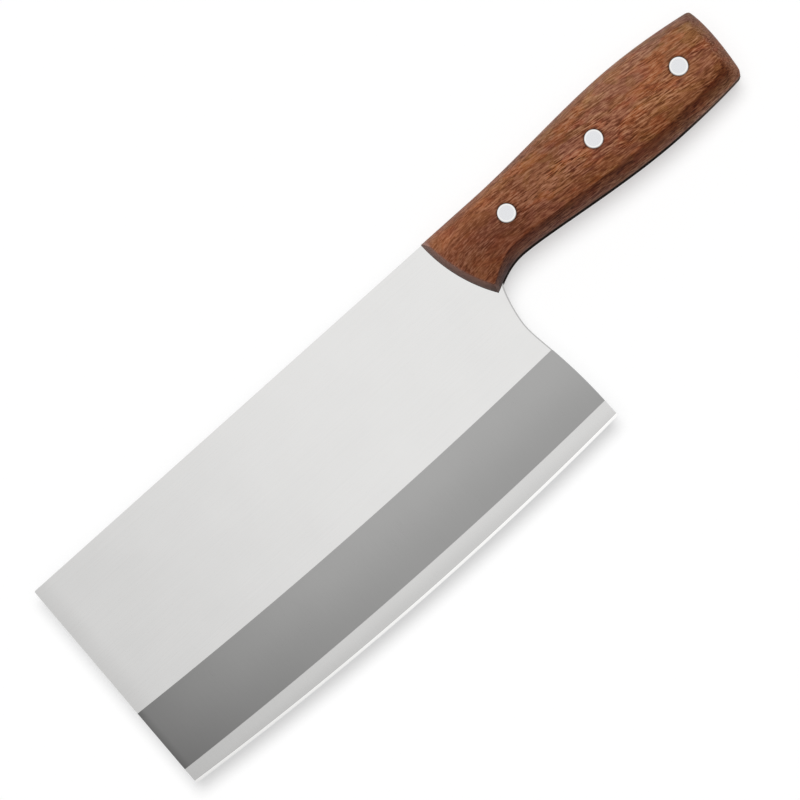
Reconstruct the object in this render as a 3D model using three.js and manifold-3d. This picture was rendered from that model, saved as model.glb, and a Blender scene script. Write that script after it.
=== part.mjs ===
import * as THREE from 'three';
import { mergeVertices } from 'three/addons/utils/BufferGeometryUtils.js';
import Module from 'manifold-3d';

// A slicing cleaver: one steel blade with a full tang, and two wooden scales riveted to the tang.
// Millimetres. The knife lies flat with +Z up. +X runs from the tip to the butt of the handle,
// and the cutting edge faces -Y. Sizes count from the front of the handle (x = 0), the spine
// of the blade (y = 0) and the middle of the steel (z = 0).

// Blade
const BLADE_LENGTH = 181.5; // along the spine, from the tip to the front of the handle
const BLADE_DEPTH = 93.2; // from the spine to the lowest point of the cutting edge
const BLADE_THICKNESS = 2.2;
const TIP_LEAN = 1; // how far the tip leans forward from the spine to the edge
const TIP_CORNER = 0.6; // reach of the rounded corner between spine and tip
const EDGE_RADIUS = 1285; // the edge is one long arc
const EDGE_BELLY = 70; // the arc's lowest point lies this far in front of the handle

// Grinding, as heights above the lowest point of the edge and full thicknesses of the steel
const GRIND_HEIGHT = 33.5;
const GRIND_RADIUS = 1975; // the line where the flat side meets the grind
const BEVEL_HEIGHT = 7.6;
const BEVEL_RADIUS = 1776; // the line where the grind meets the edge bevel
const BEVEL_THICKNESS = 1.2;
const HONE_HEIGHT = 1;
const HONE_THICKNESS = 0.5;
const EDGE_THICKNESS = 0.12;

// Heel and finger notch
const HEEL_SETBACK = 11.4; // the heel stands this far behind the front of the handle
const HEEL_STRAIGHT = 8; // upright run of the heel above the edge
const HEEL_SHARE = 0.58; // share of the run up to the notch that keeps close to the heel
const NOTCH_HOLLOW = 3.05; // how far the notch cuts in from the heel
const NOTCH_DROP = 46.2; // from the spine to the deepest point of the notch
const HOLLOW_SHARE = 0.18; // share of the run down to the heel that keeps close to the notch
const NOTCH_SHARE = 0.725; // share of the guard curve that the tang follows before it turns down
const NOTCH_TURN = 0.3; // share of the way in to the notch that the tang takes to turn

// Handle outline
const HANDLE_LENGTH = 124.9;
const TOP_STRAIGHT = 24; // the top edge runs on from the spine this far
const CREST_RISE = 2.5; // height of the hump in the top edge
const CREST_FROM_BUTT = 41;
const WAIST_DROP = 26.1; // from the spine to the narrowest point of the grip
const WAIST_SETBACK = 24.5;
const WAIST_SHARE = 0.17; // share of the run to the palm that stays level at the waist
const PALM_DROP = 32.2; // from the spine to the fullest point of the grip
const PALM_FROM_BUTT = 33;
const PALM_SHARE = 0.36; // share of the run to the waist that stays level at the palm
const GUARD_DROP = 30.8; // from the spine to the lower front corner of the scales
const GUARD_SLOPE = 0.43; // slope of the lower edge where it meets that corner
const GUARD_LEVEL_SHARE = 0.45; // share of the run to that corner that stays level at the waist
const GUARD_SLOPE_SHARE = 0.25; // share of that run that keeps the slope at the corner
const FRONT_RADIUS = 57; // hollow arc across the front of the scales, upright at the spine
const BUTT_TOP_DROP = 1.42;
const BUTT_TOP_SETBACK = 0.9;
const BUTT_TOP_SLOPE = -0.17;
const BUTT_TOP_CORNER = 1.6;
const BUTT_BOTTOM_DROP = 30.7;
const BUTT_BOTTOM_SETBACK = 1.8;
const BUTT_BOTTOM_SLOPE = 0.1;
const BUTT_BOTTOM_CORNER = 2.4;
const BUTT_BULGE_DROP = 11; // from the spine to the rearmost point of the butt

// Scales
const SCALE_THICKNESS = 8.5;
const SCALE_LAND = 1.2; // upright band of wood next to the tang
const FLANK_FULLNESS = 1.4; // 1 makes the flanks plain chamfers, 2 makes them elliptic
const ROUND_FRONT = 1.85; // how far each side of the broad face is drawn in by its flank
const ROUND_TOP = 4;
const ROUND_BUTT = 4.6;
const ROUND_PALM = 4.8;
const ROUND_WAIST = 3.4;
const ROUND_GUARD = 2; // at the lower front corner

// Rivets, each a solid pin pressed into a tube
const PIN_DIAMETER = 2.4;
const PIN_END_GAP = 1; // left between the pin's end and the floor of the tube
const TUBE_WALL = 0.65;
const TUBE_FLOOR = 1.2; // solid steel left under the tube's bore
const TUBE_END_GAP = 0.6; // left between the tube's rim and the pin's head
const HEAD_OVERHANG = 1.3; // how far a head reaches past the tube
const HEAD_THICKNESS = 1.3;
const FIT_CLEARANCE = 0.15; // on each side, wherever a rivet fits a bore
const FRONT_RIVET_SETBACK = 29.4;
const FRONT_RIVET_DROP = 13;
const REAR_RIVET_FROM_BUTT = 17;
const REAR_RIVET_DROP = 14.85;
const MIDDLE_RIVET_SHARE = 0.506; // of the way from the front rivet to the rear one

// Fineness of the curved surfaces
const SWEEP_STEPS = 8;
const ARC_STEPS = 10;
const CORNER_STEPS = 4;
const ROUND_STEPS = 4;
const BLADE_STEPS = 36;
const RIVET_SIDES = 32;
const CUT_MARGIN = 5; // how far cutting shapes reach past the piece that they cut

// Derived sizes
const GRIP_THICKNESS = BLADE_THICKNESS + 2 * SCALE_THICKNESS;
const BORE_DIAMETER = PIN_DIAMETER + 2 * FIT_CLEARANCE;
const TUBE_DIAMETER = BORE_DIAMETER + 2 * TUBE_WALL;
const HEAD_DIAMETER = TUBE_DIAMETER + 2 * HEAD_OVERHANG;
const HEAD_SEAT = GRIP_THICKNESS / 2 - HEAD_THICKNESS;

const wasm = await Module();
wasm.setup();

const point = (x, y) => new THREE.Vector2(x, y);

// A smooth curve from one point to another, with the slope dy/dx at each end
// and the share of the run over which each end keeps its direction.
function sweep(from, to, slopes, shares) {
  const run = to.x - from.x;
  const leaving = point(run * shares[0], run * shares[0] * slopes[0]).add(from);
  const arriving = point(run * shares[1], run * shares[1] * slopes[1]).negate().add(to);
  return new THREE.CubicBezierCurve(from, leaving, arriving, to);
}

// Points along a stretch of a curve, without the last point of the stretch.
function sampled(curve, steps, start = 0, end = 1) {
  return Array.from({ length: steps }, (_, i) => curve.getPoint(start + ((end - start) * i) / steps));
}

// Both ends of a curve keep their direction alike.
const EVEN = [1 / 3, 1 / 3];

// The handle's edges, clockwise from the front of the top edge, drawn in by an inset on each side.
function handleEdges(inset) {
  const buttX = HANDLE_LENGTH - inset.butt;
  const straightStart = point(inset.front, -inset.top);
  const straightEnd = point(TOP_STRAIGHT, -inset.top);
  const crest = point(HANDLE_LENGTH - CREST_FROM_BUTT, CREST_RISE - inset.top);
  const topCorner = point(buttX - BUTT_TOP_SETBACK, -BUTT_TOP_DROP - inset.top);
  const bottomCorner = point(buttX - BUTT_BOTTOM_SETBACK, -BUTT_BOTTOM_DROP + inset.palm);
  const palm = point(HANDLE_LENGTH - PALM_FROM_BUTT, -PALM_DROP + inset.palm);
  const waist = point(WAIST_SETBACK, -WAIST_DROP + inset.waist);

  const topEnd = point(-1, -BUTT_TOP_SLOPE).setLength(BUTT_TOP_CORNER).add(topCorner);
  const bottomEnd = point(-1, -BUTT_BOTTOM_SLOPE).setLength(BUTT_BOTTOM_CORNER).add(bottomCorner);
  const bulge = point(2 * buttX - (topCorner.x + bottomCorner.x) / 2, -BUTT_BULGE_DROP);
  const butt = new THREE.QuadraticBezierCurve(topCorner, bulge, bottomCorner);
  const buttStart = BUTT_TOP_CORNER / butt.getLength();
  const buttEnd = 1 - BUTT_BOTTOM_CORNER / butt.getLength();
  const topRound = new THREE.QuadraticBezierCurve(topEnd, topCorner, butt.getPoint(buttStart));
  const bottomRound = new THREE.QuadraticBezierCurve(butt.getPoint(buttEnd), bottomCorner, bottomEnd);

  const arcCentre = point(FRONT_RADIUS + inset.front, 0);
  const guardY = -GUARD_DROP + inset.guard;
  const arcAngle = (y) => Math.PI - Math.asin((y - arcCentre.y) / FRONT_RADIUS);
  const front = new THREE.EllipseCurve(
    arcCentre.x, arcCentre.y, FRONT_RADIUS, FRONT_RADIUS, arcAngle(guardY), arcAngle(-inset.top), true,
  );
  return {
    top: [
      ...sampled(new THREE.LineCurve(straightStart, straightEnd), 1),
      ...sampled(sweep(straightEnd, crest, [0, 0], EVEN), SWEEP_STEPS),
      ...sampled(sweep(crest, topEnd, [0, BUTT_TOP_SLOPE], EVEN), SWEEP_STEPS),
    ],
    butt: [
      ...sampled(topRound, CORNER_STEPS),
      ...sampled(butt, SWEEP_STEPS, buttStart, buttEnd),
      ...sampled(bottomRound, CORNER_STEPS),
    ],
    bottom: [
      ...sampled(sweep(bottomEnd, palm, [BUTT_BOTTOM_SLOPE, 0], EVEN), SWEEP_STEPS),
      ...sampled(sweep(palm, waist, [0, 0], [PALM_SHARE, WAIST_SHARE]), SWEEP_STEPS),
    ],
    guard: sweep(waist, front.getPoint(0), [0, GUARD_SLOPE], [GUARD_LEVEL_SHARE, GUARD_SLOPE_SHARE]),
    front: sampled(front, ARC_STEPS),
  };
}

const FLUSH = { front: 0, top: 0, butt: 0, palm: 0, waist: 0, guard: 0 };
const RIDGE = {
  front: ROUND_FRONT,
  top: ROUND_TOP,
  butt: ROUND_BUTT,
  palm: ROUND_PALM,
  waist: ROUND_WAIST,
  guard: ROUND_GUARD,
};

// The scales' outline, counterclockwise.
function scaleOutline(inset) {
  const edges = handleEdges(inset);
  const guard = sampled(edges.guard, SWEEP_STEPS);
  return [...edges.top, ...edges.butt, ...edges.bottom, ...guard, ...edges.front].reverse();
}

// The outline of the blade and tang. Below the edge it runs on, because the grinding cuts it there.
function steelOutline() {
  const edges = handleEdges(FLUSH);
  const tipX = (y) => -BLADE_LENGTH + (TIP_LEAN * y) / BLADE_DEPTH;
  const past = -BLADE_DEPTH - CUT_MARGIN;
  const tipCorner = point(tipX(0), 0);
  const tipFoot = point(tipX(past), past);
  const tipEnd = tipFoot.clone().sub(tipCorner).setLength(TIP_CORNER).add(tipCorner);
  const spineStart = point(tipCorner.x + TIP_CORNER, 0);
  const tip = new THREE.QuadraticBezierCurve(tipEnd, tipCorner, spineStart);

  const leave = edges.guard.getPoint(NOTCH_SHARE);
  const notch = point(HEEL_SETBACK - NOTCH_HOLLOW, -NOTCH_DROP);
  const heelTop = point(HEEL_SETBACK, -BLADE_DEPTH + HEEL_STRAIGHT);
  const turn = edges.guard.getTangent(NOTCH_SHARE).setLength((leave.x - notch.x) * NOTCH_TURN).add(leave);
  const notchHold = point(notch.x, (2 * notch.y + leave.y) / 3);
  const hollowEnd = point(notch.x, notch.y + (heelTop.y - notch.y) * HOLLOW_SHARE);
  const heelHold = point(heelTop.x, heelTop.y + (notch.y - heelTop.y) * HEEL_SHARE);
  const notchTop = new THREE.CubicBezierCurve(leave, turn, notchHold, notch);
  const notchBottom = new THREE.CubicBezierCurve(notch, hollowEnd, heelHold, heelTop);
  return [
    ...sampled(tip, CORNER_STEPS),
    spineStart,
    ...edges.top,
    ...edges.butt,
    ...edges.bottom,
    ...sampled(edges.guard, SWEEP_STEPS, 0, NOTCH_SHARE),
    ...sampled(notchTop, ARC_STEPS),
    ...sampled(notchBottom, ARC_STEPS),
    heelTop,
    point(HEEL_SETBACK, past),
    tipFoot,
  ];
}

// A solid through outlines with equal numbers of points, each counterclockwise about the direction
// in which they follow each other. place(p, i) sets point p of outline i in space.
function loft(outlines, place) {
  const count = outlines[0].length;
  const last = outlines.length - 1;
  const positions = outlines.flatMap((outline, i) => outline.flatMap((p) => place(p, i).toArray()));
  const sides = [];
  for (let i = 0; i < last; i += 1) {
    for (let j = 0; j < count; j += 1) {
      const next = (j + 1) % count;
      const [a, b] = [i * count + j, i * count + next];
      sides.push(a, b, b + count, a, b + count, a + count);
    }
  }
  const firstCap = THREE.ShapeUtils.triangulateShape(outlines[0], []);
  const lastCap = THREE.ShapeUtils.triangulateShape(outlines[last], []);
  const geometry = new THREE.BufferGeometry();
  geometry.setAttribute('position', new THREE.Float32BufferAttribute(positions, 3));
  geometry.setIndex([
    ...sides,
    ...firstCap.flatMap(([a, b, c]) => [c, b, a]),
    ...lastCap.flat().map((vertex) => vertex + last * count),
  ]);
  return geometry;
}

function toSolid(geometry) {
  const bare = geometry.clone();
  bare.deleteAttribute('normal');
  bare.deleteAttribute('uv');
  const merged = mergeVertices(bare);
  return new wasm.Manifold(new wasm.Mesh({
    numProp: 3,
    vertProperties: new Float32Array(merged.attributes.position.array),
    triVerts: new Uint32Array(merged.index.array),
  }));
}

function toGeometry(solid) {
  const mesh = solid.getMesh();
  const geometry = new THREE.BufferGeometry();
  geometry.setAttribute('position', new THREE.BufferAttribute(mesh.vertProperties, 3));
  geometry.setIndex(new THREE.BufferAttribute(mesh.triVerts, 1));
  geometry.computeVertexNormals();
  return geometry;
}

// A turned shape about the Z axis, from radius and height pairs.
function turned(profile) {
  const points = profile.map(([radius, height]) => point(radius, height));
  return new THREE.LatheGeometry(points, RIVET_SIDES).rotateX(Math.PI / 2);
}

const frontRivet = point(FRONT_RIVET_SETBACK, -FRONT_RIVET_DROP);
const rearRivet = point(HANDLE_LENGTH - REAR_RIVET_FROM_BUTT, -REAR_RIVET_DROP);
const RIVETS = [
  { name: 'front_rivet', centre: frontRivet },
  { name: 'middle_rivet', centre: frontRivet.clone().lerp(rearRivet, MIDDLE_RIVET_SHARE) },
  { name: 'rear_rivet', centre: rearRivet },
];

// The stepped bore that one rivet takes through both scales and the tang.
function rivetBore(centre) {
  const head = HEAD_DIAMETER / 2 + FIT_CLEARANCE;
  const shank = TUBE_DIAMETER / 2 + FIT_CLEARANCE;
  const past = GRIP_THICKNESS / 2 + CUT_MARGIN;
  const bore = turned([
    [0, -past], [head, -past], [head, -HEAD_SEAT], [shank, -HEAD_SEAT],
    [shank, HEAD_SEAT], [head, HEAD_SEAT], [head, past], [0, past],
  ]);
  return toSolid(bore.translate(centre.x, centre.y, 0));
}

function drilled(solid) {
  return RIVETS.reduce((left, rivet) => left.subtract(rivetBore(rivet.centre)), solid);
}

// The solid pin of a rivet, with its head flush in the front scale.
function rivetPin() {
  const pin = PIN_DIAMETER / 2;
  const head = HEAD_DIAMETER / 2;
  const end = -GRIP_THICKNESS / 2 + TUBE_FLOOR + PIN_END_GAP;
  const face = GRIP_THICKNESS / 2;
  return turned([[0, end], [pin, end], [pin, HEAD_SEAT], [head, HEAD_SEAT], [head, face], [0, face]]);
}

// The tube of a rivet, with its head flush in the back scale and its bore open towards the pin.
function rivetTube() {
  const bore = BORE_DIAMETER / 2;
  const tube = TUBE_DIAMETER / 2;
  const head = HEAD_DIAMETER / 2;
  const face = -GRIP_THICKNESS / 2;
  const rim = HEAD_SEAT - TUBE_END_GAP;
  const floor = face + TUBE_FLOOR;
  return turned([
    [0, face], [head, face], [head, -HEAD_SEAT], [tube, -HEAD_SEAT],
    [tube, rim], [bore, rim], [bore, floor], [0, floor],
  ]);
}

// Depth below the spine of a long arc that is lowest at the belly of the edge.
function arcDepth(height, radius, x) {
  const along = x + EDGE_BELLY;
  return BLADE_DEPTH - height - (radius - Math.sqrt(radius ** 2 - along ** 2));
}

// A bar with the blade's ground section: flat sides, grind, edge bevel and hone.
function groundBar() {
  const start = -BLADE_LENGTH - TIP_LEAN - CUT_MARGIN;
  const end = HANDLE_LENGTH + CUT_MARGIN;
  const step = (end - start) / BLADE_STEPS;
  const stations = Array.from({ length: BLADE_STEPS + 1 }, (_, i) => start + step * i);
  const sections = stations.map((x) => {
    const flank = [
      point(CREST_RISE + CUT_MARGIN, BLADE_THICKNESS / 2),
      point(-arcDepth(GRIND_HEIGHT, GRIND_RADIUS, x), BLADE_THICKNESS / 2),
      point(-arcDepth(BEVEL_HEIGHT, BEVEL_RADIUS, x), BEVEL_THICKNESS / 2),
      point(-arcDepth(HONE_HEIGHT, EDGE_RADIUS, x), HONE_THICKNESS / 2),
      point(-arcDepth(0, EDGE_RADIUS, x), EDGE_THICKNESS / 2),
    ];
    const mirrored = flank.map((p) => point(p.x, -p.y)).reverse();
    return [...flank, ...mirrored];
  });
  return loft(sections, (p, i) => new THREE.Vector3(stations[i], p.x, p.y));
}

function bladeWithTang() {
  const depth = BLADE_THICKNESS + 2 * CUT_MARGIN;
  const plate = new THREE.ExtrudeGeometry(new THREE.Shape(steelOutline()), { depth, bevelEnabled: false });
  plate.translate(0, 0, -depth / 2);
  return toGeometry(drilled(toSolid(groundBar()).intersect(toSolid(plate))));
}

// One scale, for the front (side 1) or the back (side -1) of the tang. Its broad face is flat,
// and its flanks are upright next to the tang and rounded above that.
function scale(side) {
  const outer = scaleOutline(FLUSH);
  const ridge = scaleOutline(RIDGE);
  const levels = [{ blend: 0, height: 0 }];
  for (let i = 0; i <= ROUND_STEPS; i += 1) {
    const angle = (i / ROUND_STEPS) * (Math.PI / 2);
    const rise = Math.sin(angle) ** (2 / FLANK_FULLNESS);
    const reach = Math.cos(angle) ** (2 / FLANK_FULLNESS);
    levels.push({ blend: 1 - reach, height: SCALE_LAND + (SCALE_THICKNESS - SCALE_LAND) * rise });
  }
  const rings = levels.map(({ blend, height }) => ({
    outline: outer.map((p, i) => p.clone().lerp(ridge[i], blend)),
    z: side * (BLADE_THICKNESS / 2 + height),
  }));
  const upward = side > 0 ? rings : rings.reverse();
  const block = loft(upward.map((ring) => ring.outline), (p, i) => new THREE.Vector3(p.x, p.y, upward[i].z));
  return toGeometry(drilled(toSolid(block)));
}

const steel = new THREE.MeshStandardMaterial({ color: 0xd6d6d8, roughness: 0.35, metalness: 1 });
const wood = new THREE.MeshStandardMaterial({ color: 0x74452b, roughness: 0.55, metalness: 0 });
const rivetSteel = new THREE.MeshStandardMaterial({ color: 0xdedad6, roughness: 0.25, metalness: 1 });

const knife = new THREE.Group();

function addPiece(name, geometry, material) {
  const mesh = new THREE.Mesh(geometry, material);
  mesh.name = name;
  knife.add(mesh);
}

addPiece('blade_with_tang', bladeWithTang(), steel);
addPiece('front_scale', scale(1), wood);
addPiece('back_scale', scale(-1), wood);
for (const { name, centre } of RIVETS) {
  addPiece(`${name}_pin`, rivetPin().translate(centre.x, centre.y, 0), rivetSteel);
  addPiece(`${name}_tube`, rivetTube().translate(centre.x, centre.y, 0), rivetSteel);
}

// The origin is the middle of the underside of the knife's box.
const box = new THREE.Box3().setFromObject(knife);
const middle = box.getCenter(new THREE.Vector3());
knife.position.set(-middle.x, -middle.y, -box.min.z);

export default knife;
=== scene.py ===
"""A slicing cleaver lying on a pale floor: a ground steel blade with a full tang, two oiled wooden scales
and three cutler's rivets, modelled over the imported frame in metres."""

import math

import bmesh
import bpy
from mathutils import Matrix, Vector


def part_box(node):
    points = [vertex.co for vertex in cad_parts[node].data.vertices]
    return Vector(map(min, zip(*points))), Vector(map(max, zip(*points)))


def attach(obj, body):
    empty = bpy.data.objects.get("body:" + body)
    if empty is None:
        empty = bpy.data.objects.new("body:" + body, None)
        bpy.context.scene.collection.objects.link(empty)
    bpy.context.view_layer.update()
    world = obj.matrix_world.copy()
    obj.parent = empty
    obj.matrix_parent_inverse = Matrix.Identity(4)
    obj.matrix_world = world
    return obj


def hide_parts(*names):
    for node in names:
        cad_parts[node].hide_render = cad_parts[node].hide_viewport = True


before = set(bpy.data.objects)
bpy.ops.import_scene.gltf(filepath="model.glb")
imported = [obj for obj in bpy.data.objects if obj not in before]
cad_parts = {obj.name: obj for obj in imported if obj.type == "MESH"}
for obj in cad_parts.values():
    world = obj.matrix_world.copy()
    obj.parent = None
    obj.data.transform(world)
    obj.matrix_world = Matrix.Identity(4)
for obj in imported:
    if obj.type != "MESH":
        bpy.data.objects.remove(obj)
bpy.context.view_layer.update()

MM = 0.001

# Sizes and places taken from the frame. The knife is drawn from the front of the handle (x = 0),
# the spine (y = 0) and the middle of the steel (z = 0), and ORIGIN moves it into the frame.
CREST_RISE = 2.5 * MM
STEEL_LOW, STEEL_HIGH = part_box("blade_with_tang")
SCALE_LOW, SCALE_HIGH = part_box("front_scale")
ORIGIN = Vector((SCALE_LOW.x, STEEL_HIGH.y - CREST_RISE, (STEEL_LOW.z + STEEL_HIGH.z) / 2))
BLADE_DEPTH = ORIGIN.y - STEEL_LOW.y
HALF_STEEL = (STEEL_HIGH.z - STEEL_LOW.z) / 2
SCALE_THICKNESS = SCALE_HIGH.z - SCALE_LOW.z
FACE = HALF_STEEL + SCALE_THICKNESS

# Blade and its grinding. Heights are above the lowest point of the edge, thicknesses are half ones.
BLADE_LENGTH = 181.5 * MM
TIP_LEAN = 1 * MM
TIP_CORNER = 0.6 * MM
EDGE_BELLY = 70 * MM
EDGE_RADIUS = 1285 * MM
GRIND_HEIGHT, GRIND_RADIUS = 33.5 * MM, 1975 * MM
BEVEL_HEIGHT, BEVEL_RADIUS, HALF_BEVEL = 7.6 * MM, 1776 * MM, 0.6 * MM
HONE_HEIGHT, HALF_HONE = 1 * MM, 0.25 * MM
HALF_EDGE = 0.06 * MM
EDGE_BREAK = 0.15 * MM
NOTCH_BREAK = 0.45 * MM

# Heel and finger notch
HEEL_SETBACK = 11.4 * MM
HEEL_STRAIGHT, HEEL_SHARE = 8 * MM, 0.58
NOTCH_HOLLOW, HOLLOW_SHARE = 3.05 * MM, 0.18
NOTCH_DROP = 46.2 * MM
NOTCH_SHARE, NOTCH_TURN = 0.725, 0.3

# Handle outline
HANDLE_LENGTH = 124.9 * MM
TOP_STRAIGHT = 24 * MM
CREST_FROM_BUTT = 41 * MM
WAIST_DROP, WAIST_SETBACK, WAIST_SHARE = 26.1 * MM, 24.5 * MM, 0.17
PALM_DROP, PALM_FROM_BUTT, PALM_SHARE = 32.2 * MM, 33 * MM, 0.36
GUARD_DROP, GUARD_SLOPE = 30.8 * MM, 0.43
GUARD_LEVEL_SHARE, GUARD_SLOPE_SHARE = 0.45, 0.25
FRONT_RADIUS = 57 * MM
BUTT_TOP_DROP, BUTT_TOP_SETBACK = 1.42 * MM, 0.9 * MM
BUTT_TOP_SLOPE, BUTT_TOP_CORNER = -0.17, 1.6 * MM
BUTT_BOTTOM_DROP, BUTT_BOTTOM_SETBACK = 30.7 * MM, 1.8 * MM
BUTT_BOTTOM_SLOPE, BUTT_BOTTOM_CORNER = 0.1, 2.4 * MM
BUTT_BULGE_DROP = 11 * MM

# Flanks of the scales
SCALE_LAND = 1.2 * MM
FLANK_FULLNESS = 1.4
ROUND_FRONT, ROUND_TOP, ROUND_BUTT = 1.85 * MM, 4 * MM, 4.6 * MM
ROUND_PALM, ROUND_WAIST, ROUND_GUARD = 4.8 * MM, 3.4 * MM, 2 * MM
RIDGE_EASE = 0.35 * MM

# Rivets
HEAD_THICKNESS = 1.3 * MM
HEAD_CLEARANCE = 0.15 * MM
HEAD_RIM = 0.25 * MM
HEAD_RING = 0.65 * MM
TUBE_RADIUS = 2 * MM
BORE_RADIUS = 1.35 * MM
PIN_RADIUS = 1.2 * MM
SHANK_HOLE_RADIUS = 2.15 * MM
HOLE_REACH = 1.5 * SHANK_HOLE_RADIUS
PIN_END = -7.4 * MM
TUBE_RIM = 7.7 * MM
TUBE_FLOOR = -8.4 * MM
RIVET_NAMES = ("front_rivet", "middle_rivet", "rear_rivet")

# Fineness of the meshes
SWEEP_STEPS = 28
CORNER_STEPS = 8
ARC_STEPS = 24
EDGE_STATIONS = 90
GRIND_ROWS = 8
FLANK_LEVELS = 14
CIRCLE_STEPS = 48
SMOOTH_BELOW = math.radians(30)
MERGE_DISTANCE = 0.001 * MM
HALVINGS = 40
LEVEL = 0.9999

# Camera, as the photograph was taken: from above, a little from the side of the cutting edge
SENSOR = 36
LENS = 193.8
CAMERA_DISTANCE = 1.5
CAMERA_TILT = math.radians(9.2)
CAMERA_ROLL = math.radians(41.42)
AIM = Vector((-41.47 * MM, -35.76 * MM, HALF_STEEL))

# Floor and light
FLOOR_SIDE = 8
FLOOR_GLOW = 0.535
FLOOR_TONE, FLOOR_SPECKLE = 0.97, (900, 900, 900)
KEY_STRENGTH, KEY_ANGLE = 2.15, math.radians(37)
KEY_ELEVATION, KEY_TURN = math.radians(72.4), math.radians(39)
TOP_STRENGTH, TOP_ANGLE = 0.85, math.radians(64)
AMBIENT = 0.12

# The soft box overhead, seen in reflections: what it loses towards the tip, and between which directions
BOX_LOSS = 0.225
BOX_X, BOX_Z = (0, -0.12), (0.5, 0.8)


# Shader nodes

class Value:
    """A number in a shader. Arithmetic on it adds Math nodes to its tree."""

    def __init__(self, nodes, socket):
        self.nodes = nodes
        self.socket = socket

    def math(self, operation, left, right):
        return self.nodes.add("ShaderNodeMath", {"operation": operation}, {0: left, 1: right})

    def __add__(self, other):
        return self.math("ADD", self, other)

    def __radd__(self, other):
        return self.math("ADD", other, self)

    def __sub__(self, other):
        return self.math("SUBTRACT", self, other)

    def __rsub__(self, other):
        return self.math("SUBTRACT", other, self)

    def __mul__(self, other):
        return self.math("MULTIPLY", self, other)

    def __rmul__(self, other):
        return self.math("MULTIPLY", other, self)

    def __truediv__(self, other):
        return self.math("DIVIDE", self, other)

    def __rtruediv__(self, other):
        return self.math("DIVIDE", other, self)

    def __rpow__(self, other):
        return self.math("POWER", other, self)

    def __abs__(self):
        return self.math("ABSOLUTE", self, 0)


class Nodes:
    """The node tree of a material or of the world."""

    def __init__(self, owner):
        owner.use_nodes = True
        self.owner = owner
        self.tree = owner.node_tree
        self.tree.nodes.clear()

    def add(self, kind, settings=None, sockets=None, output=0):
        made = self.tree.nodes.new(kind)
        for name, value in (settings or {}).items():
            if name == "stops":
                self.set_stops(made.color_ramp, value)
            else:
                setattr(made, name, value)
        for key, value in (sockets or {}).items():
            if isinstance(value, Value):
                self.tree.links.new(value.socket, made.inputs[key])
            else:
                made.inputs[key].default_value = value
        return Value(self, made.outputs[output]) if made.outputs else None

    @staticmethod
    def set_stops(ramp, stops):
        while len(ramp.elements) < len(stops):
            ramp.elements.new(1)
        for element, (place, colour) in zip(ramp.elements, stops):
            element.position = place
            element.color = (*colour, 1)

    def noise(self, vector, detail=2, roughness=0.5):
        sockets = {"Vector": vector, "Scale": 1, "Detail": detail, "Roughness": roughness}
        return self.add("ShaderNodeTexNoise", None, sockets)

    def stretch(self, vector, factors):
        return self.add("ShaderNodeVectorMath", {"operation": "MULTIPLY"}, {0: vector, 1: factors})

    def parts(self, vector):
        split = self.add("ShaderNodeSeparateXYZ", None, {0: vector})
        return [Value(self, output) for output in split.socket.node.outputs]

    def ramp(self, value, stops):
        return self.add("ShaderNodeValToRGB", {"stops": stops}, {0: value})

    def step(self, value, low, high):
        """0 below low, 1 above high and smooth between; falling where high is the lower one."""
        settings = {"interpolation_type": "SMOOTHSTEP"}
        sockets = {"Value": value, "From Min": low, "From Max": high, "To Min": 0, "To Max": 1}
        return self.add("ShaderNodeMapRange", settings, sockets)

    def blend(self, mask, under, over):
        return self.mix("MIX", mask, under, over)

    def multiply(self, mask, under, over):
        return self.mix("MULTIPLY", mask, under, over)

    def mix(self, kind, mask, under, over):
        settings = {"data_type": "RGBA", "blend_type": kind}
        under, over = [c if isinstance(c, Value) else (*c, 1) for c in (under, over)]
        return self.add("ShaderNodeMix", settings, {0: mask, 6: under, 7: over}, output=2)

    def bump(self, height, distance, strength):
        sockets = {"Height": height, "Distance": distance, "Strength": strength}
        return self.add("ShaderNodeBump", None, sockets)

    def seen(self):
        """1 for what the camera sees, directly or by gloss and glass, and 0 for light on other things."""
        rays = self.add("ShaderNodeLightPath").socket.node.outputs
        names = ("Is Camera Ray", "Is Glossy Ray", "Is Transmission Ray")
        direct, gloss, glass = [Value(self, rays[name]) for name in names]
        settings = {"operation": "ADD", "use_clamp": True}
        return self.add("ShaderNodeMath", settings, {0: direct + gloss, 1: glass})

    def principled(self, sockets):
        return self.add("ShaderNodeBsdfPrincipled", None, sockets)

    def surface(self, shader):
        self.add("ShaderNodeOutputMaterial", None, {"Surface": shader})
        return self.owner

    def places(self):
        """Millimetres from the front of the handle, the spine and the middle of the steel."""
        here = self.add("ShaderNodeTexCoord", output="Object")
        moved = self.add("ShaderNodeVectorMath", {"operation": "SUBTRACT"}, {0: here, 1: ORIGIN})
        return self.stretch(moved, (1 / MM, 1 / MM, 1 / MM))


def grey(tone):
    return (tone, tone, tone)


def new_finish(name):
    return Nodes(bpy.data.materials.new(name))


# Finishes of the steel. A cast is how it takes on red, green and blue.
WARM_CAST = (1, 0.995, 0.985)
COOL_CAST = (0.99, 1, 1.025)
STEEL_CLOUD = (0.05, 0.05, 0.05)
LINE_CONTRAST, CLOUD_CONTRAST = 0.08, 0.06

# Where shade is painted on the steel. A pair holds the places where a loss starts and where it is full, in
# millimetres: TIP is from the line of the tip, Y from the spine and DROP below the face of a rivet.
FLAT_TIP, FLAT_TIP_LOSS = (9, 0), 0.09
BAND_TIP, BAND_TIP_LOSS = (3, 0), 0.22
BAND_Y, BAND_LOW_LOSS = (-60, -86), 0.17
BEVEL_Y, BEVEL_LOW_LOSS = (-86, -92), 0.11
RIM_DROP, RIM_LOSS = (0.01, 0.12), 0.6

# How far from the tip shade is painted on the grinding, and what its band and bevel lose at the tip itself
TIP_FADE, BAND_FADE_LOSS, BEVEL_FADE_LOSS = 125, 0.46, 0.16


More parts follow.
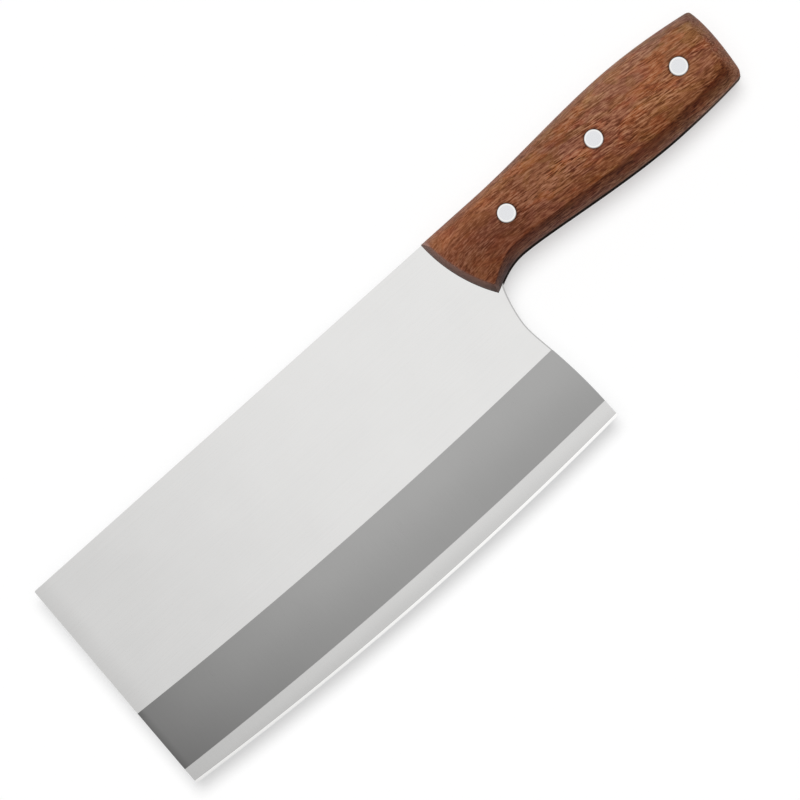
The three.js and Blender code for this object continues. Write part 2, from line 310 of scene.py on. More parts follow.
def brushed_steel(name, tone, lines, roughness, depth, fade=None, cast=WARM_CAST):
    """Steel with fine lines. lines holds their fineness along x, y and z, per millimetre."""
    finish = new_finish(name)
    place = finish.places()
    fine = finish.noise(finish.stretch(place, lines), detail=3, roughness=0.6)
    cloud = finish.noise(finish.stretch(place, STEEL_CLOUD), detail=2)
    shade = tone * (1 + LINE_CONTRAST * (fine - 0.5) + CLOUD_CONTRAST * (cloud - 0.5))
    if fade:
        shade = shade * fade(finish, *finish.parts(place))
    colour = finish.add("ShaderNodeCombineColor", None, {i: shade * share for i, share in enumerate(cast)})
    return finish.surface(finish.principled({
        "Base Color": colour,
        "Metallic": 1,
        "Roughness": roughness + 0.1 * (fine - 0.5) + 0.05 * (cloud - 0.5),
        "Normal": finish.bump(fine, depth, 0.25),
    }))


def from_tip(x, y):
    """Distance behind the line of the tip, in millimetres."""
    return x + BLADE_LENGTH / MM - y * (TIP_LEAN / BLADE_DEPTH)


def near_tip(finish, x, y):
    """1 along the line of the tip, falling to 0 at TIP_FADE behind it, ever more slowly."""
    share = 1 - from_tip(x, y) / TIP_FADE
    positive = finish.add("ShaderNodeMath", {"operation": "MAXIMUM"}, {0: share, 1: 0})
    return positive * positive


def satin_flat():
    """The flat side of the blade, with painted shade along the tip."""
    def fade(finish, x, y, z):
        return 1 - FLAT_TIP_LOSS * finish.step(from_tip(x, y), *FLAT_TIP)

    return brushed_steel("satin_flat", tone=0.78, lines=(0.03, 6, 6),
                         roughness=0.1, depth=0.004 * MM, fade=fade)


def ground_band():
    """The band between the flat and the edge bevel, with painted shade lower down and towards the tip."""
    def fade(finish, x, y, z):
        low = BAND_LOW_LOSS * finish.step(y, *BAND_Y)
        tip = BAND_FADE_LOSS * near_tip(finish, x, y)
        rim = BAND_TIP_LOSS * finish.step(from_tip(x, y), *BAND_TIP)
        return (1 - low) * (1 - tip) * (1 - rim)

    return brushed_steel("ground_band", tone=0.42, lines=(5, 0.05, 5),
                         roughness=0.3, depth=0.01 * MM, fade=fade)


def edge_bevel():
    """The pale bevel above the edge, with a little painted shade towards the edge and the tip."""
    def fade(finish, x, y, z):
        low = BEVEL_LOW_LOSS * finish.step(y, *BEVEL_Y)
        tip = BEVEL_FADE_LOSS * near_tip(finish, x, y)
        return (1 - low) * (1 - tip)

    return brushed_steel("edge_bevel", tone=0.7, lines=(4, 0.08, 4),
                         roughness=0.24, depth=0.008 * MM, fade=fade)


def honed_edge():
    return brushed_steel("honed_edge", tone=0.98, lines=(9, 0.2, 9), roughness=0.18, depth=0.003 * MM)


# Darker steel for the blade's walls and the broken edge of the notch, where it draws a line of painted shade
def shaded_wall():
    return brushed_steel("shaded_wall", tone=0.5, lines=(1, 1, 5), roughness=0.4, depth=0.006 * MM)


def rivet_steel(name, tone, roughness, cast):
    """Bright steel with painted shade where the rim of a head rounds down into the wood."""
    def fade(finish, x, y, z):
        return 1 - RIM_LOSS * finish.step(FACE / MM - abs(z), *RIM_DROP)

    return brushed_steel(name, tone, lines=(2.5, 2.5, 2.5), roughness=roughness,
                         depth=0.004 * MM, fade=fade, cast=cast)


# The seam between tang and wood is painted shade: dark along the handle and paler at the butt, where it also
# looks narrower.
# It changes between the two places of SEAM_X, in millimetres from the front of the handle.
SEAM_DARK, SEAM_BUTT = (0.045, 0.025, 0.017), (0.20, 0.135, 0.105)
TANG_DARK, TANG_BUTT = (0.022, 0.020, 0.019), (0.065, 0.054, 0.047)
SEAM_X = 92, 112
SEAM_MOTTLE = (0.5, 0.5, 3)


def painted_shade_edge(name, tone, butt_tone):
    """A dull, almost black surface that paints shade, for the edge of the tang and the wood along it, paler
    at the butt.
    """
    finish = new_finish(name)
    place = finish.places()
    mottle = finish.noise(finish.stretch(place, SEAM_MOTTLE), detail=3, roughness=0.6)
    dark = finish.ramp(mottle, [(0.35, tuple(0.5 * c for c in tone)), (0.65, tone)])
    at_butt = finish.step(finish.parts(place)[0], *SEAM_X)
    return finish.surface(finish.principled({
        "Base Color": finish.blend(at_butt, dark, butt_tone),
        "Roughness": 0.7 + 0.3 * (mottle - 0.5),
        "Specular IOR Level": 0,
        "Normal": finish.bump(mottle, 0.03 * MM, 0.3),
    }))


# The grain of the wood climbs towards the spine at the front of the handle, where it is also shorter, turns
# within GRAIN_TURN millimetres and then sinks slowly towards the butt. Each scale has its own stretch of it.
GRAIN_CLIMB = 7
GRAIN_TURN = 13
GRAIN_CROWD = 15
GRAIN_SINK = 0.13
GRAIN_WAVE, WAVE_FINENESS = 1.5, (0.09, 0.25, 0.25)
FRONT_SHIFT, BACK_SHIFT = 61, 37

# Its figure, as the fineness along and across the fibre, per millimetre
CLOUD, STREAK, CLOUD_SHARE = (0.05, 0.14), (0.08, 0.9), 0.6
SHORT_DASH, LONG_DASH, SHORT_SHARE = (0.33, 1.9), (0.07, 2.2), 0.72
DASH_CROWD, THREAD = (0.06, 0.12), (0.6, 5)
PLUM_PATCH, RED_PATCH, OLIVE_PATCH = (0.06, 0.17), (0.09, 0.23), (0.12, 0.2)

# The levels of that figure between which each mark comes in, and how far it covers what is under it
PATCH_LEVEL, CROWD_LEVEL = (0.5, 0.6), (0.42, 0.58)
PORE_LEVEL, PORE_COVER = (0.492, 0.6), 0.9
FLECK_LEVEL, FLECK_COVER = (0.5, 0.392), 0.75

# Its colours, the first three with the level of the figure at which each stands
WOOD_TONES = [(0.37, (0.153, 0.050, 0.0235)), (0.5, (0.209, 0.073, 0.035)), (0.63, (0.288, 0.116, 0.056))]
WOOD_PORE = (0.065, 0.015, 0.006)
WOOD_FLECK = (0.405, 0.192, 0.113)
# The front end of the scale: end grain, greyed by a painted sheen
FRONT_STRIP_GRAIN_AND_SHEEN, STRIP_COVER = (0.365, 0.197, 0.156), 0.9

# What its colour is multiplied by in patches, zones and rings. Those after REAR_TINT paint light and shade:
# a sheen, a highlight and shade along the top, a sheen low on the lower flank, and shade everywhere else.
PLUM_TINT = (0.93, 0.90, 1.12)
RED_TINT = (1.12, 0.93, 0.82)
OLIVE_TINT = (0.97, 1.03, 0.86)
FRONT_TINT = (0.78, 0.75, 0.78)
REAR_TINT = (1.18, 1.24, 1.16)
# A painted sheen along the top of the handle, a painted highlight at its front and painted shade at its rear
TOP_SHEEN_TINT = (1.03, 1.13, 1.20)
TOP_FRONT_HIGHLIGHT_TINT = (1.46, 1.38, 1.23)
TOP_REAR_SHADE_TINT = (0.82, 0.85, 0.93)
# Painted shade on the lower side of the face and flank, deeper towards the rear
LOW_SHADE_TINT = (0.83, 0.76, 0.69)
LOW_REAR_SHADE_TINT = (0.78, 0.76, 0.76)
# A painted sheen low on the lower flank, next to the seam
LAND_SHEEN_TINT = (1.15, 1.30, 1.42)
LAND_REAR_SHEEN_TINT = (1.18, 1.32, 1.55)
# Painted shade along the lower ridge and the crease behind it
RIDGE_SHADE_TINT = (0.60, 0.50, 0.45)
RIDGE_REAR_SHADE_TINT = (0.78, 0.68, 0.58)
# Painted shade in the hollow flank under the guard
GUARD_SHADE_TINT = (0.25, 0.10, 0.08)
# Painted shade on the rounded butt
BUTT_SHADE_TINT = (0.725, 0.735, 0.81)
# Painted shade at the front strip's outer edge and at its low end
STRIP_EDGE_SHADE_TINT, STRIP_LOW_SHADE_TINT = grey(0.7), grey(0.5)
# Painted shade at the seam
SEAM_SHADE_TINT = grey(0.3)
# Painted shade round the rivet heads
RIVET_SHADE_TINT, RIVET_COVER = grey(0.25), 0.75

# Where it changes, as the two places between which each change runs: X is from the front of the handle,
# Y from the spine and RING from the middle of a rivet, in millimetres, and RISE is a share of the height
# of a flank. LOW_TILT is how fast the low zones sink towards the butt.
EVEN_X, PATCH_X = (60, 85), (15, 55)
SHARP_X, SOFT_X = (18, 42), (64, 82)
FRONT_X, REAR_X = (70, 5), (48, 80)
HIGH_Y, HIGH_FRONT_X = (-15, -4), (56, 16)
HIGH_REAR_X, HIGH_REAR_Y = (95, 112), (-9, -4)
LOW_Y, LOW_TILT = (-15.8, -20.8), 0.035
LOW_REAR_X, LOW_REAR_Y, LOW_REAR_RISE = (50, 85), (-18.5, -22.5), (0.1, 0.4)
LAND_X, LAND_RISE = (35, 70), (0.6, 0.2)
LAND_REAR_X, LAND_REAR_RISE = (75, 105), (0.4, 0.12)
FLANK_RISE, RIDGE_RISE = (1, 0.96), (0.35, 0.9)
RIDGE_REAR_X, RIDGE_REAR_RISE = (98, 110), (0.6, 0.85)
GUARD_X, GUARD_RISE = (26, 17), (0.75, 0.3)
STRIP_X, STRIP_RISE, STRIP_LOW_Y = (2.6, 1.2), (0.95, 0.4), (-26, -30)
BUTT_X = 118.5, 121.5
SEAM_RISE = 0.1, 0.02
RIVET_RING = 4.3, 3.4


def wood_figure(finish, place, shift):
    """The wood before its zones are tinted: its colour, its dark pores and its fine threads."""
    x, y, z = finish.parts(place)
    wave = finish.noise(finish.stretch(place, WAVE_FINENESS))
    turn = math.e ** (x / -GRAIN_TURN)
    length = x - GRAIN_CROWD * turn
    across = y + GRAIN_CLIMB * turn + GRAIN_SINK * x + GRAIN_WAVE * (wave - 0.5)
    fibre = finish.add("ShaderNodeCombineXYZ", None, {0: length + shift, 1: across + shift, 2: z})

    def figure(fineness, detail, roughness=0.5):
        lengthwise, crosswise = fineness
        return finish.noise(finish.stretch(fibre, (lengthwise, crosswise, crosswise)), detail, roughness)

    tone = CLOUD_SHARE * figure(CLOUD, 3) + (1 - CLOUD_SHARE) * figure(STREAK, 3)
    contrast = 1 - 0.45 * finish.step(x, *EVEN_X)
    colour = finish.ramp(0.5 + contrast * (tone - 0.5), WOOD_TONES)
    strength = 0.45 + 0.55 * finish.step(x, *PATCH_X)
    for fineness, tint in ((PLUM_PATCH, PLUM_TINT), (RED_PATCH, RED_TINT), (OLIVE_PATCH, OLIVE_TINT)):
        patch = finish.step(figure(fineness, 2), *PATCH_LEVEL)
        colour = finish.multiply(strength * patch, colour, tint)

    dash = SHORT_SHARE * figure(SHORT_DASH, 4, 0.65) + (1 - SHORT_SHARE) * figure(LONG_DASH, 2)
    crowded = 0.68 + 0.32 * finish.step(figure(DASH_CROWD, 2), *CROWD_LEVEL)
    sharp = 0.9 + 0.22 * finish.step(x, *SHARP_X) - 0.14 * finish.step(x, *SOFT_X)
    busy = crowded * sharp * (1 - 0.25 * finish.step(y, *HIGH_Y))
    pore = busy * finish.step(dash, *PORE_LEVEL)
    fleck = busy * finish.step(dash, *FLECK_LEVEL)
    colour = finish.blend(FLECK_COVER * fleck, colour, WOOD_FLECK)
    colour = finish.blend(PORE_COVER * pore, colour, WOOD_PORE)
    return colour, pore, figure(THREAD, 2)


def tinted(finish, colour, zones):
    """The colour after each zone, a mask and a tint, has multiplied it."""
    for mask, tint in zones:
        colour = finish.multiply(mask, colour, tint)
    return colour


def wood_zones(finish, colour, x, y, z):
    """Tints the wood by its place on the scale: its ends, its sides, its flanks and the ridge above them,
    mostly with painted light and shade.
    """
    step = finish.step
    rise = (abs(z) - (HALF_STEEL + SCALE_LAND) / MM) / ((SCALE_THICKNESS - SCALE_LAND) / MM)
    flank = step(rise, *FLANK_RISE)
    radius = FRONT_RADIUS / MM
    front_arc = finish.add("ShaderNodeMath", {"operation": "SQRT"}, {0: radius ** 2 - y * y})
    front = step(x - radius + front_arc, *STRIP_X) * (0.3 + 0.7 * flank)
    butt = step(x, *BUTT_X)
    high = step(y, *HIGH_Y)
    sunk = y + LOW_TILT * x
    low = step(sunk, *LOW_Y) * (1 - butt) * (1 - 0.7 * front)
    low_rear = step(sunk, *LOW_REAR_Y) * step(x, *LOW_REAR_X) * step(rise, *LOW_REAR_RISE) * (1 - butt)
    low_behind = low * (1 - front)

    # Front and rear tones, then a painted sheen and highlight along the top, with painted shade at its rear
    colour = tinted(finish, colour, [
        (step(x, *FRONT_X), FRONT_TINT),
        (step(x, *REAR_X), REAR_TINT),
        (high, TOP_SHEEN_TINT),
        (high * step(x, *HIGH_FRONT_X), TOP_FRONT_HIGHLIGHT_TINT),
        (step(y, *HIGH_REAR_Y) * step(x, *HIGH_REAR_X), TOP_REAR_SHADE_TINT),
    ])
    # The front strip: end grain, greyed by a painted sheen
    colour = finish.blend(STRIP_COVER * front, colour, FRONT_STRIP_GRAIN_AND_SHEEN)
    # Painted shade on the strip, the butt, the lower side, its ridge, the guard and the seam, and a painted
    # sheen low on the lower flank
    return tinted(finish, colour, [
        (front * step(rise, *STRIP_RISE), STRIP_EDGE_SHADE_TINT),
        (front * step(y, *STRIP_LOW_Y), STRIP_LOW_SHADE_TINT),
        (butt, BUTT_SHADE_TINT),
        (low, LOW_SHADE_TINT),
        (low_rear, LOW_REAR_SHADE_TINT),
        (low * step(x, *LAND_X) * step(rise, *LAND_RISE), LAND_SHEEN_TINT),
        (low * step(x, *LAND_REAR_X) * step(rise, *LAND_REAR_RISE), LAND_REAR_SHEEN_TINT),
        (low_behind * flank * step(rise, *RIDGE_RISE), RIDGE_SHADE_TINT),
        (low * flank * step(x, *RIDGE_REAR_X) * step(rise, *RIDGE_REAR_RISE), RIDGE_REAR_SHADE_TINT),
        (low_behind * step(x, *GUARD_X) * step(rise, *GUARD_RISE), GUARD_SHADE_TINT),
        (step(rise, *SEAM_RISE) * (1 - step(x, *SEAM_X)), SEAM_SHADE_TINT),
    ])


def rivet_shade_rings(finish, colour, x, y):
    """Paints shade on the wood round the rivet heads."""
    flat = finish.add("ShaderNodeCombineXYZ", None, {0: x, 1: y})
    for rivet in RIVET_NAMES:
        places = {0: flat, 1: (*(rivet_centre(rivet) / MM), 0)}
        distance = finish.add("ShaderNodeVectorMath", {"operation": "DISTANCE"}, places, "Value")
        ring = RIVET_COVER * finish.step(distance, *RIVET_RING)
        colour = finish.multiply(ring, colour, RIVET_SHADE_TINT)
    return colour


def oiled_wood(name, shift):
    """Reddish-brown hardwood with short dark pores. shift moves the figure between the two scales."""
    finish = new_finish(name)
    place = finish.places()
    x, y, z = finish.parts(place)
    colour, pore, thread = wood_figure(finish, place, shift)
    colour = wood_zones(finish, colour, x, y, z)
    return finish.surface(finish.principled({
        "Base Color": rivet_shade_rings(finish, colour, x, y),
        "Roughness": 0.5 + 0.15 * pore + 0.12 * (thread - 0.5),
        "Specular IOR Level": 0.1,
        "Normal": finish.bump(0.35 * thread - pore, 0.08 * MM, 0.35),
    }))


def pale_floor():
    """A pale floor that shows almost white, and that keeps part of the shadow on it."""
    finish = new_finish("pale_floor")
    place = finish.add("ShaderNodeTexCoord", output="Object")
    speckle = finish.noise(finish.stretch(place, FLOOR_SPECKLE))
    shade = FLOOR_TONE + 0.02 * (speckle - 0.5)
    colour = finish.add("ShaderNodeCombineColor", None, {0: shade, 1: shade, 2: shade})
    matt = finish.principled({"Base Color": colour, "Roughness": 0.9, "Specular IOR Level": 0.1})
    white = finish.add("ShaderNodeEmission", None, {"Color": (1, 1, 1, 1), "Strength": 1})
    glow = FLOOR_GLOW * finish.seen()
    return finish.surface(finish.add("ShaderNodeMixShader", None, {0: glow, 1: matt, 2: white}))


# Outlines, as points in the plane of the steel

def point(x, y):
    return Vector((x, y))


def bent(start, tip, end, share):
    """The point at a share of the way along an even bend from start to end round its tip."""
    return start.lerp(tip, share).lerp(tip.lerp(end, share), share)


def chord(controls, share):
    """Two points on the tangent of a cubic curve at a share of it, which the curve divides by that share."""
    start, leave, arrive, end = controls
    return bent(start, leave, arrive, share), bent(leave, arrive, end, share)


def along(controls, share):
    near, far = chord(controls, share)
    return near.lerp(far, share)


def curve(controls, steps, last=1):
    """Points of a cubic curve up to a share of it, without the last point."""
    return [along(controls, last * i / steps) for i in range(steps)]


def share_at(controls, y):
    """The share of a falling curve at which it comes down to y."""
    low, high = 0, 1
    for _ in range(HALVINGS):
        middle = (low + high) / 2
        if along(controls, middle).y > y:
            low = middle
        else:
            high = middle
    return low


def corner(start, tip, end):
    """Points of a rounded corner, without its last point."""
    return [bent(start, tip, end, i / CORNER_STEPS) for i in range(CORNER_STEPS)]


def straight(start, end, steps):
    return [start.lerp(end, i / steps) for i in range(steps)]


def sweep(start, end, slopes, shares=(1 / 3, 1 / 3)):
    """Control points of a curve, from the slope at each end and the share of the run that keeps it."""
    run = end.x - start.x
    leave = start + run * shares[0] * point(1, slopes[0])
    arrive = end - run * shares[1] * point(1, slopes[1])
    return start, leave, arrive, end


def handle_edges(front=0, top=0, butt=0, palm=0, waist=0, guard=0):
    """The handle's edges, clockwise from the front of the top edge, drawn in by the given amounts."""
    butt_x = HANDLE_LENGTH - butt
    top_start = point(front, -top)
    top_bend = point(TOP_STRAIGHT, -top)
    crest = point(HANDLE_LENGTH - CREST_FROM_BUTT, CREST_RISE - top)
    top_corner = point(butt_x - BUTT_TOP_SETBACK, -BUTT_TOP_DROP - top)
    low_corner = point(butt_x - BUTT_BOTTOM_SETBACK, -BUTT_BOTTOM_DROP + palm)
    palm_low = point(HANDLE_LENGTH - PALM_FROM_BUTT, -PALM_DROP + palm)
    waist_low = point(WAIST_SETBACK, -WAIST_DROP + waist)

    top_end = top_corner - BUTT_TOP_CORNER * point(1, BUTT_TOP_SLOPE).normalized()
    low_end = low_corner - BUTT_BOTTOM_CORNER * point(1, BUTT_BOTTOM_SLOPE).normalized()
    bulge = point(2 * butt_x - (top_corner.x + low_corner.x) / 2, -BUTT_BULGE_DROP)
    butt_length = (top_corner - low_corner).length
    first = BUTT_TOP_CORNER / butt_length
    last = 1 - BUTT_BOTTOM_CORNER / butt_length
    shares = [first + (last - first) * i / SWEEP_STEPS for i in range(SWEEP_STEPS + 1)]
    butt_curve = [bent(top_corner, bulge, low_corner, share) for share in shares]

    arc_x = FRONT_RADIUS + front
    guard_y = -GUARD_DROP + guard
    arc_start = math.asin(guard_y / FRONT_RADIUS)
    arc_end = math.asin(-top / FRONT_RADIUS)
    arc = [arc_start + (arc_end - arc_start) * i / ARC_STEPS for i in range(ARC_STEPS)]
    front_arc = [point(arc_x - FRONT_RADIUS * math.cos(a), FRONT_RADIUS * math.sin(a)) for a in arc]
    return {
        "top": [
            *straight(top_start, top_bend, CORNER_STEPS),
            *curve(sweep(top_bend, crest, (0, 0)), SWEEP_STEPS),
            *curve(sweep(crest, top_end, (0, BUTT_TOP_SLOPE)), SWEEP_STEPS),
        ],
        "butt": [
            *corner(top_end, top_corner, butt_curve[0]),
            *butt_curve[:-1],
            *corner(butt_curve[-1], low_corner, low_end),
        ],
        "bottom": [
            *curve(sweep(low_end, palm_low, (BUTT_BOTTOM_SLOPE, 0)), SWEEP_STEPS),
            *curve(sweep(palm_low, waist_low, (0, 0), (PALM_SHARE, WAIST_SHARE)), SWEEP_STEPS),
        ],
        "guard": sweep(waist_low, front_arc[0], (0, GUARD_SLOPE), (GUARD_LEVEL_SHARE, GUARD_SLOPE_SHARE)),
        "front": front_arc,
    }


def arc_y(height, radius, x):
    """Where a long arc of the grinding lies, lowest at the belly of the edge."""
    from_belly = x + EDGE_BELLY
    return height - BLADE_DEPTH + radius - math.sqrt(radius ** 2 - from_belly ** 2)


def tip_x(y):
    return -BLADE_LENGTH + TIP_LEAN * y / BLADE_DEPTH


def notch_curves():
    """Control points from the guard to the deepest point of the notch, and from there to the heel."""
    near, far = chord(handle_edges()["guard"], NOTCH_SHARE)
    leave = near.lerp(far, NOTCH_SHARE)
    deep = point(HEEL_SETBACK - NOTCH_HOLLOW, -NOTCH_DROP)
    heel = point(HEEL_SETBACK, HEEL_STRAIGHT - BLADE_DEPTH)
    turn = leave + (far - near).normalized() * (leave.x - deep.x) * NOTCH_TURN
    hold = point(deep.x, (2 * deep.y + leave.y) / 3)
    hollow = deep.lerp(point(deep.x, heel.y), HOLLOW_SHARE)
    upright = heel.lerp(point(heel.x, deep.y), HEEL_SHARE)
    return (leave, turn, hold, deep), (deep, hollow, upright, heel)


def heel_x(y):
    """Where the heel stands below the deepest point of the notch. Under its curve it runs straight."""
    lower = notch_curves()[1]
    return along(lower, share_at(lower, y)).x


def grind_row(height, radius):
    """Points along one line of the grinding, from the heel to the tip."""
    start = heel_x(arc_y(height, radius, HEEL_SETBACK))
    end = tip_x(arc_y(height, radius, -BLADE_LENGTH))
    stations = [start + (end - start) * i / EDGE_STATIONS for i in range(EDGE_STATIONS + 1)]
    return [point(x, arc_y(height, radius, x)) for x in stations]


def steel_rim():
    """The outline of the flat steel, from the tip over spine, tang and notch and back along the grind."""
    edges = handle_edges()
    grind = grind_row(GRIND_HEIGHT, GRIND_RADIUS)
    spine_corner = point(tip_x(0), 0)
    tip_end = point(tip_x(-TIP_CORNER), -TIP_CORNER)
    spine_start = spine_corner + point(TIP_CORNER, 0)
    upper, lower = notch_curves()
    return [
        *straight(grind[-1], tip_end, CORNER_STEPS)[1:],
        *corner(tip_end, spine_corner, spine_start),
        *straight(spine_start, point(0, 0), ARC_STEPS),
        *edges["top"],
        *edges["butt"],
        *edges["bottom"],
        *curve(edges["guard"], SWEEP_STEPS, NOTCH_SHARE),
        *curve(upper, ARC_STEPS),
        *curve(lower, ARC_STEPS, share_at(lower, grind[0].y)),
        *grind,
    ]


# Mesh work

def fresh(made, kind):
    return [element for element in made["geom"] if isinstance(element, kind)]


def close_outline(bm, points, z):
    """A closed run of edges through the points. Each vertex keeps its number along the outline."""
    number = bm.verts.layers.int["number"]
    verts = [bm.verts.new((p.x, p.y, z)) for p in points]
    for i, vert in enumerate(verts):
        vert[number] = i
    return [bm.edges.new((a, b)) for a, b in zip(verts, verts[1:] + verts[:1])]


def draw_out(bm, edges, place, material=0):
    """Extrudes edges and sets each new vertex where place(vertex) says. Returns the far edges."""
    made = bmesh.ops.extrude_edge_only(bm, edges=edges)
    verts = fresh(made, bmesh.types.BMVert)
    for vert in verts:
        vert.co = place(vert)
    for face in fresh(made, bmesh.types.BMFace):
        face.material_index = material
    far = set(verts)
    return [e for e in fresh(made, bmesh.types.BMEdge) if far.issuperset(e.verts)]


def circle(bm, centre, radius, z):
    matrix = Matrix.Translation((centre.x, centre.y, z))
    made = bmesh.ops.create_circle(bm, segments=CIRCLE_STEPS, radius=radius, matrix=matrix)
    return list(dict.fromkeys(edge for vert in made["verts"] for edge in vert.link_edges))


def fill(bm, edges, up=1):
    bmesh.ops.triangle_fill(bm, edges=edges, use_beauty=True, normal=(0, 0, up))


def new_mesh():
    bm = bmesh.new()
    bm.verts.layers.int.new("number")
    return bm


def finish_piece(bm, name, materials, slot, *nodes):
    """Makes the piece an object in the frame's place, riding on the knife and standing for its nodes."""
    bmesh.ops.remove_doubles(bm, verts=bm.verts, dist=MERGE_DISTANCE)
    bmesh.ops.recalc_face_normals(bm, faces=bm.faces)
    bmesh.ops.translate(bm, verts=bm.verts, vec=ORIGIN)
    mesh = bpy.data.meshes.new(name)
    bm.to_mesh(mesh)
    bm.free()
    mesh.set_sharp_from_angle(angle=SMOOTH_BELOW)
    for face in mesh.polygons:
        face.use_smooth = abs(face.normal.z) < LEVEL
    for material in materials:
        mesh.materials.append(material)
    piece = bpy.data.objects.new(name, mesh)
    bpy.context.scene.collection.objects.link(piece)
    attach(piece, "root")
    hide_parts(*nodes)
    return piece


def rivet_centre(name):
    low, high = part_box(f"{name}_pin")
    middle = (low + high) / 2 - ORIGIN
    return point(middle.x, middle.y)


# Places in the blade's list of finishes
FLAT, BAND, BEVEL, HONE, WALL, TANG = range(6)


def grind_down(bm, edges, rows):
    """Draws the grind line out row by row. A row is its height, arc radius, half thickness and finish."""
    number = bm.verts.layers.int["number"]
    first = min(vert[number] for edge in edges for vert in edge.verts)
    for height, radius, half, material in rows:
        line = grind_row(height, radius)
        edges = draw_out(bm, edges, lambda v: (*line[v[number] - first], half), material)


def grind_rows():
    """The rows of the band, the bevel and the honed edge, from the flat down."""
    def between(share):
        start = (GRIND_HEIGHT, GRIND_RADIUS, HALF_STEEL)
        end = (BEVEL_HEIGHT, BEVEL_RADIUS, HALF_BEVEL)
        return [a + (b - a) * share for a, b in zip(start, end)]

    band = [(*between((i + 1) / GRIND_ROWS), BAND) for i in range(GRIND_ROWS)]
    bevel = (HONE_HEIGHT, EDGE_RADIUS, HALF_HONE, BEVEL)
    hone = (0, EDGE_RADIUS, HALF_EDGE, HONE)
    return [*band, bevel, hone]


def ground_side(bm, centres):
    """One side of the blade: the flat face with its rivet holes, and the grinding down to the edge."""
    number = bm.verts.layers.int["number"]
    outline = steel_rim()
    grind_start = len(outline) - EDGE_STATIONS - 1
    rim = close_outline(bm, outline, HALF_STEEL)
    holes = [circle(bm, centre, SHANK_HOLE_RADIUS, HALF_STEEL) for centre in centres]
    grind_edges = [e for e in rim if all(v[number] >= grind_start for v in e.verts)]
    fill(bm, rim + [edge for hole in holes for edge in hole])
    grind_down(bm, grind_edges, grind_rows())


def blade():
    bm = new_mesh()
    centres = [rivet_centre(name) for name in RIVET_NAMES]
    ground_side(bm, centres)
    bmesh.ops.mirror(bm, geom=bm.verts[:] + bm.edges[:] + bm.faces[:], axis="Z", merge_dist=0)
    border = [edge for edge in bm.edges if edge.is_boundary]
    leave = notch_curves()[0][0]

    def middle_of(edge):
        return (edge.verts[0].co + edge.verts[1].co) / 2

    def hole_of(edge):
        """The number of the rivet hole that an edge runs round, or None."""
        place = middle_of(edge).xy
        near = [i for i, centre in enumerate(centres) if (place - centre).length < HOLE_REACH]
        return near[0] if near else None

    def beside_wood(place):
        return place.x > leave.x or place.x > 0 and place.y > leave.y

    def is_rim(edge, notch):
        """Whether an edge is a rim of the flat sides, in the notch or elsewhere."""
        level = all(abs(abs(v.co.z) - HALF_STEEL) < MERGE_DISTANCE for v in edge.verts)
        place = middle_of(edge)
        in_notch = place.x > 0 and not beside_wood(place)
        return level and hole_of(edge) is None and in_notch == notch

    for group in (None, *range(len(centres))):
        made = bmesh.ops.bridge_loops(bm, edges=[edge for edge in border if hole_of(edge) == group])
        for face in made["faces"]:
            covered = group is not None or beside_wood(face.calc_center_median())
            face.material_index = TANG if covered else WALL

    # The notch's break takes the walls' darker steel, a line of painted shade
    for notch, width, finish in ((True, NOTCH_BREAK, WALL), (False, EDGE_BREAK, -1)):
        rims = [edge for edge in border if edge.is_valid and is_rim(edge, notch)]
        bmesh.ops.bevel(bm, geom=rims, offset=width, offset_type="OFFSET", affect="EDGES", segments=2,
                        profile=0.5, material=finish)
    finishes = [
        satin_flat(),
        ground_band(),
        edge_bevel(),
        honed_edge(),
        shaded_wall(),
        # The tang's edge between the scales is painted shade
        painted_shade_edge("tang_edge", TANG_DARK, TANG_BUTT),
    ]
    piece = finish_piece(bm, "ground_blade", finishes, "blade_steel", "blade_with_tang")
    # Its underside would throw the floor's glow back into the shadow
    piece.visible_diffuse = False


def flank_level(share):
    """How far in and how high a flank is, as shares of its reach, from the land (0) to the ridge (1)."""
    angle = share * math.pi / 2
    reach = math.cos(angle) ** (2 / FLANK_FULLNESS)
    rise = math.sin(angle) ** (2 / FLANK_FULLNESS)
    return 1 - reach, rise


# Places in a scale's list of finishes
GRAIN, SEAM = range(2)


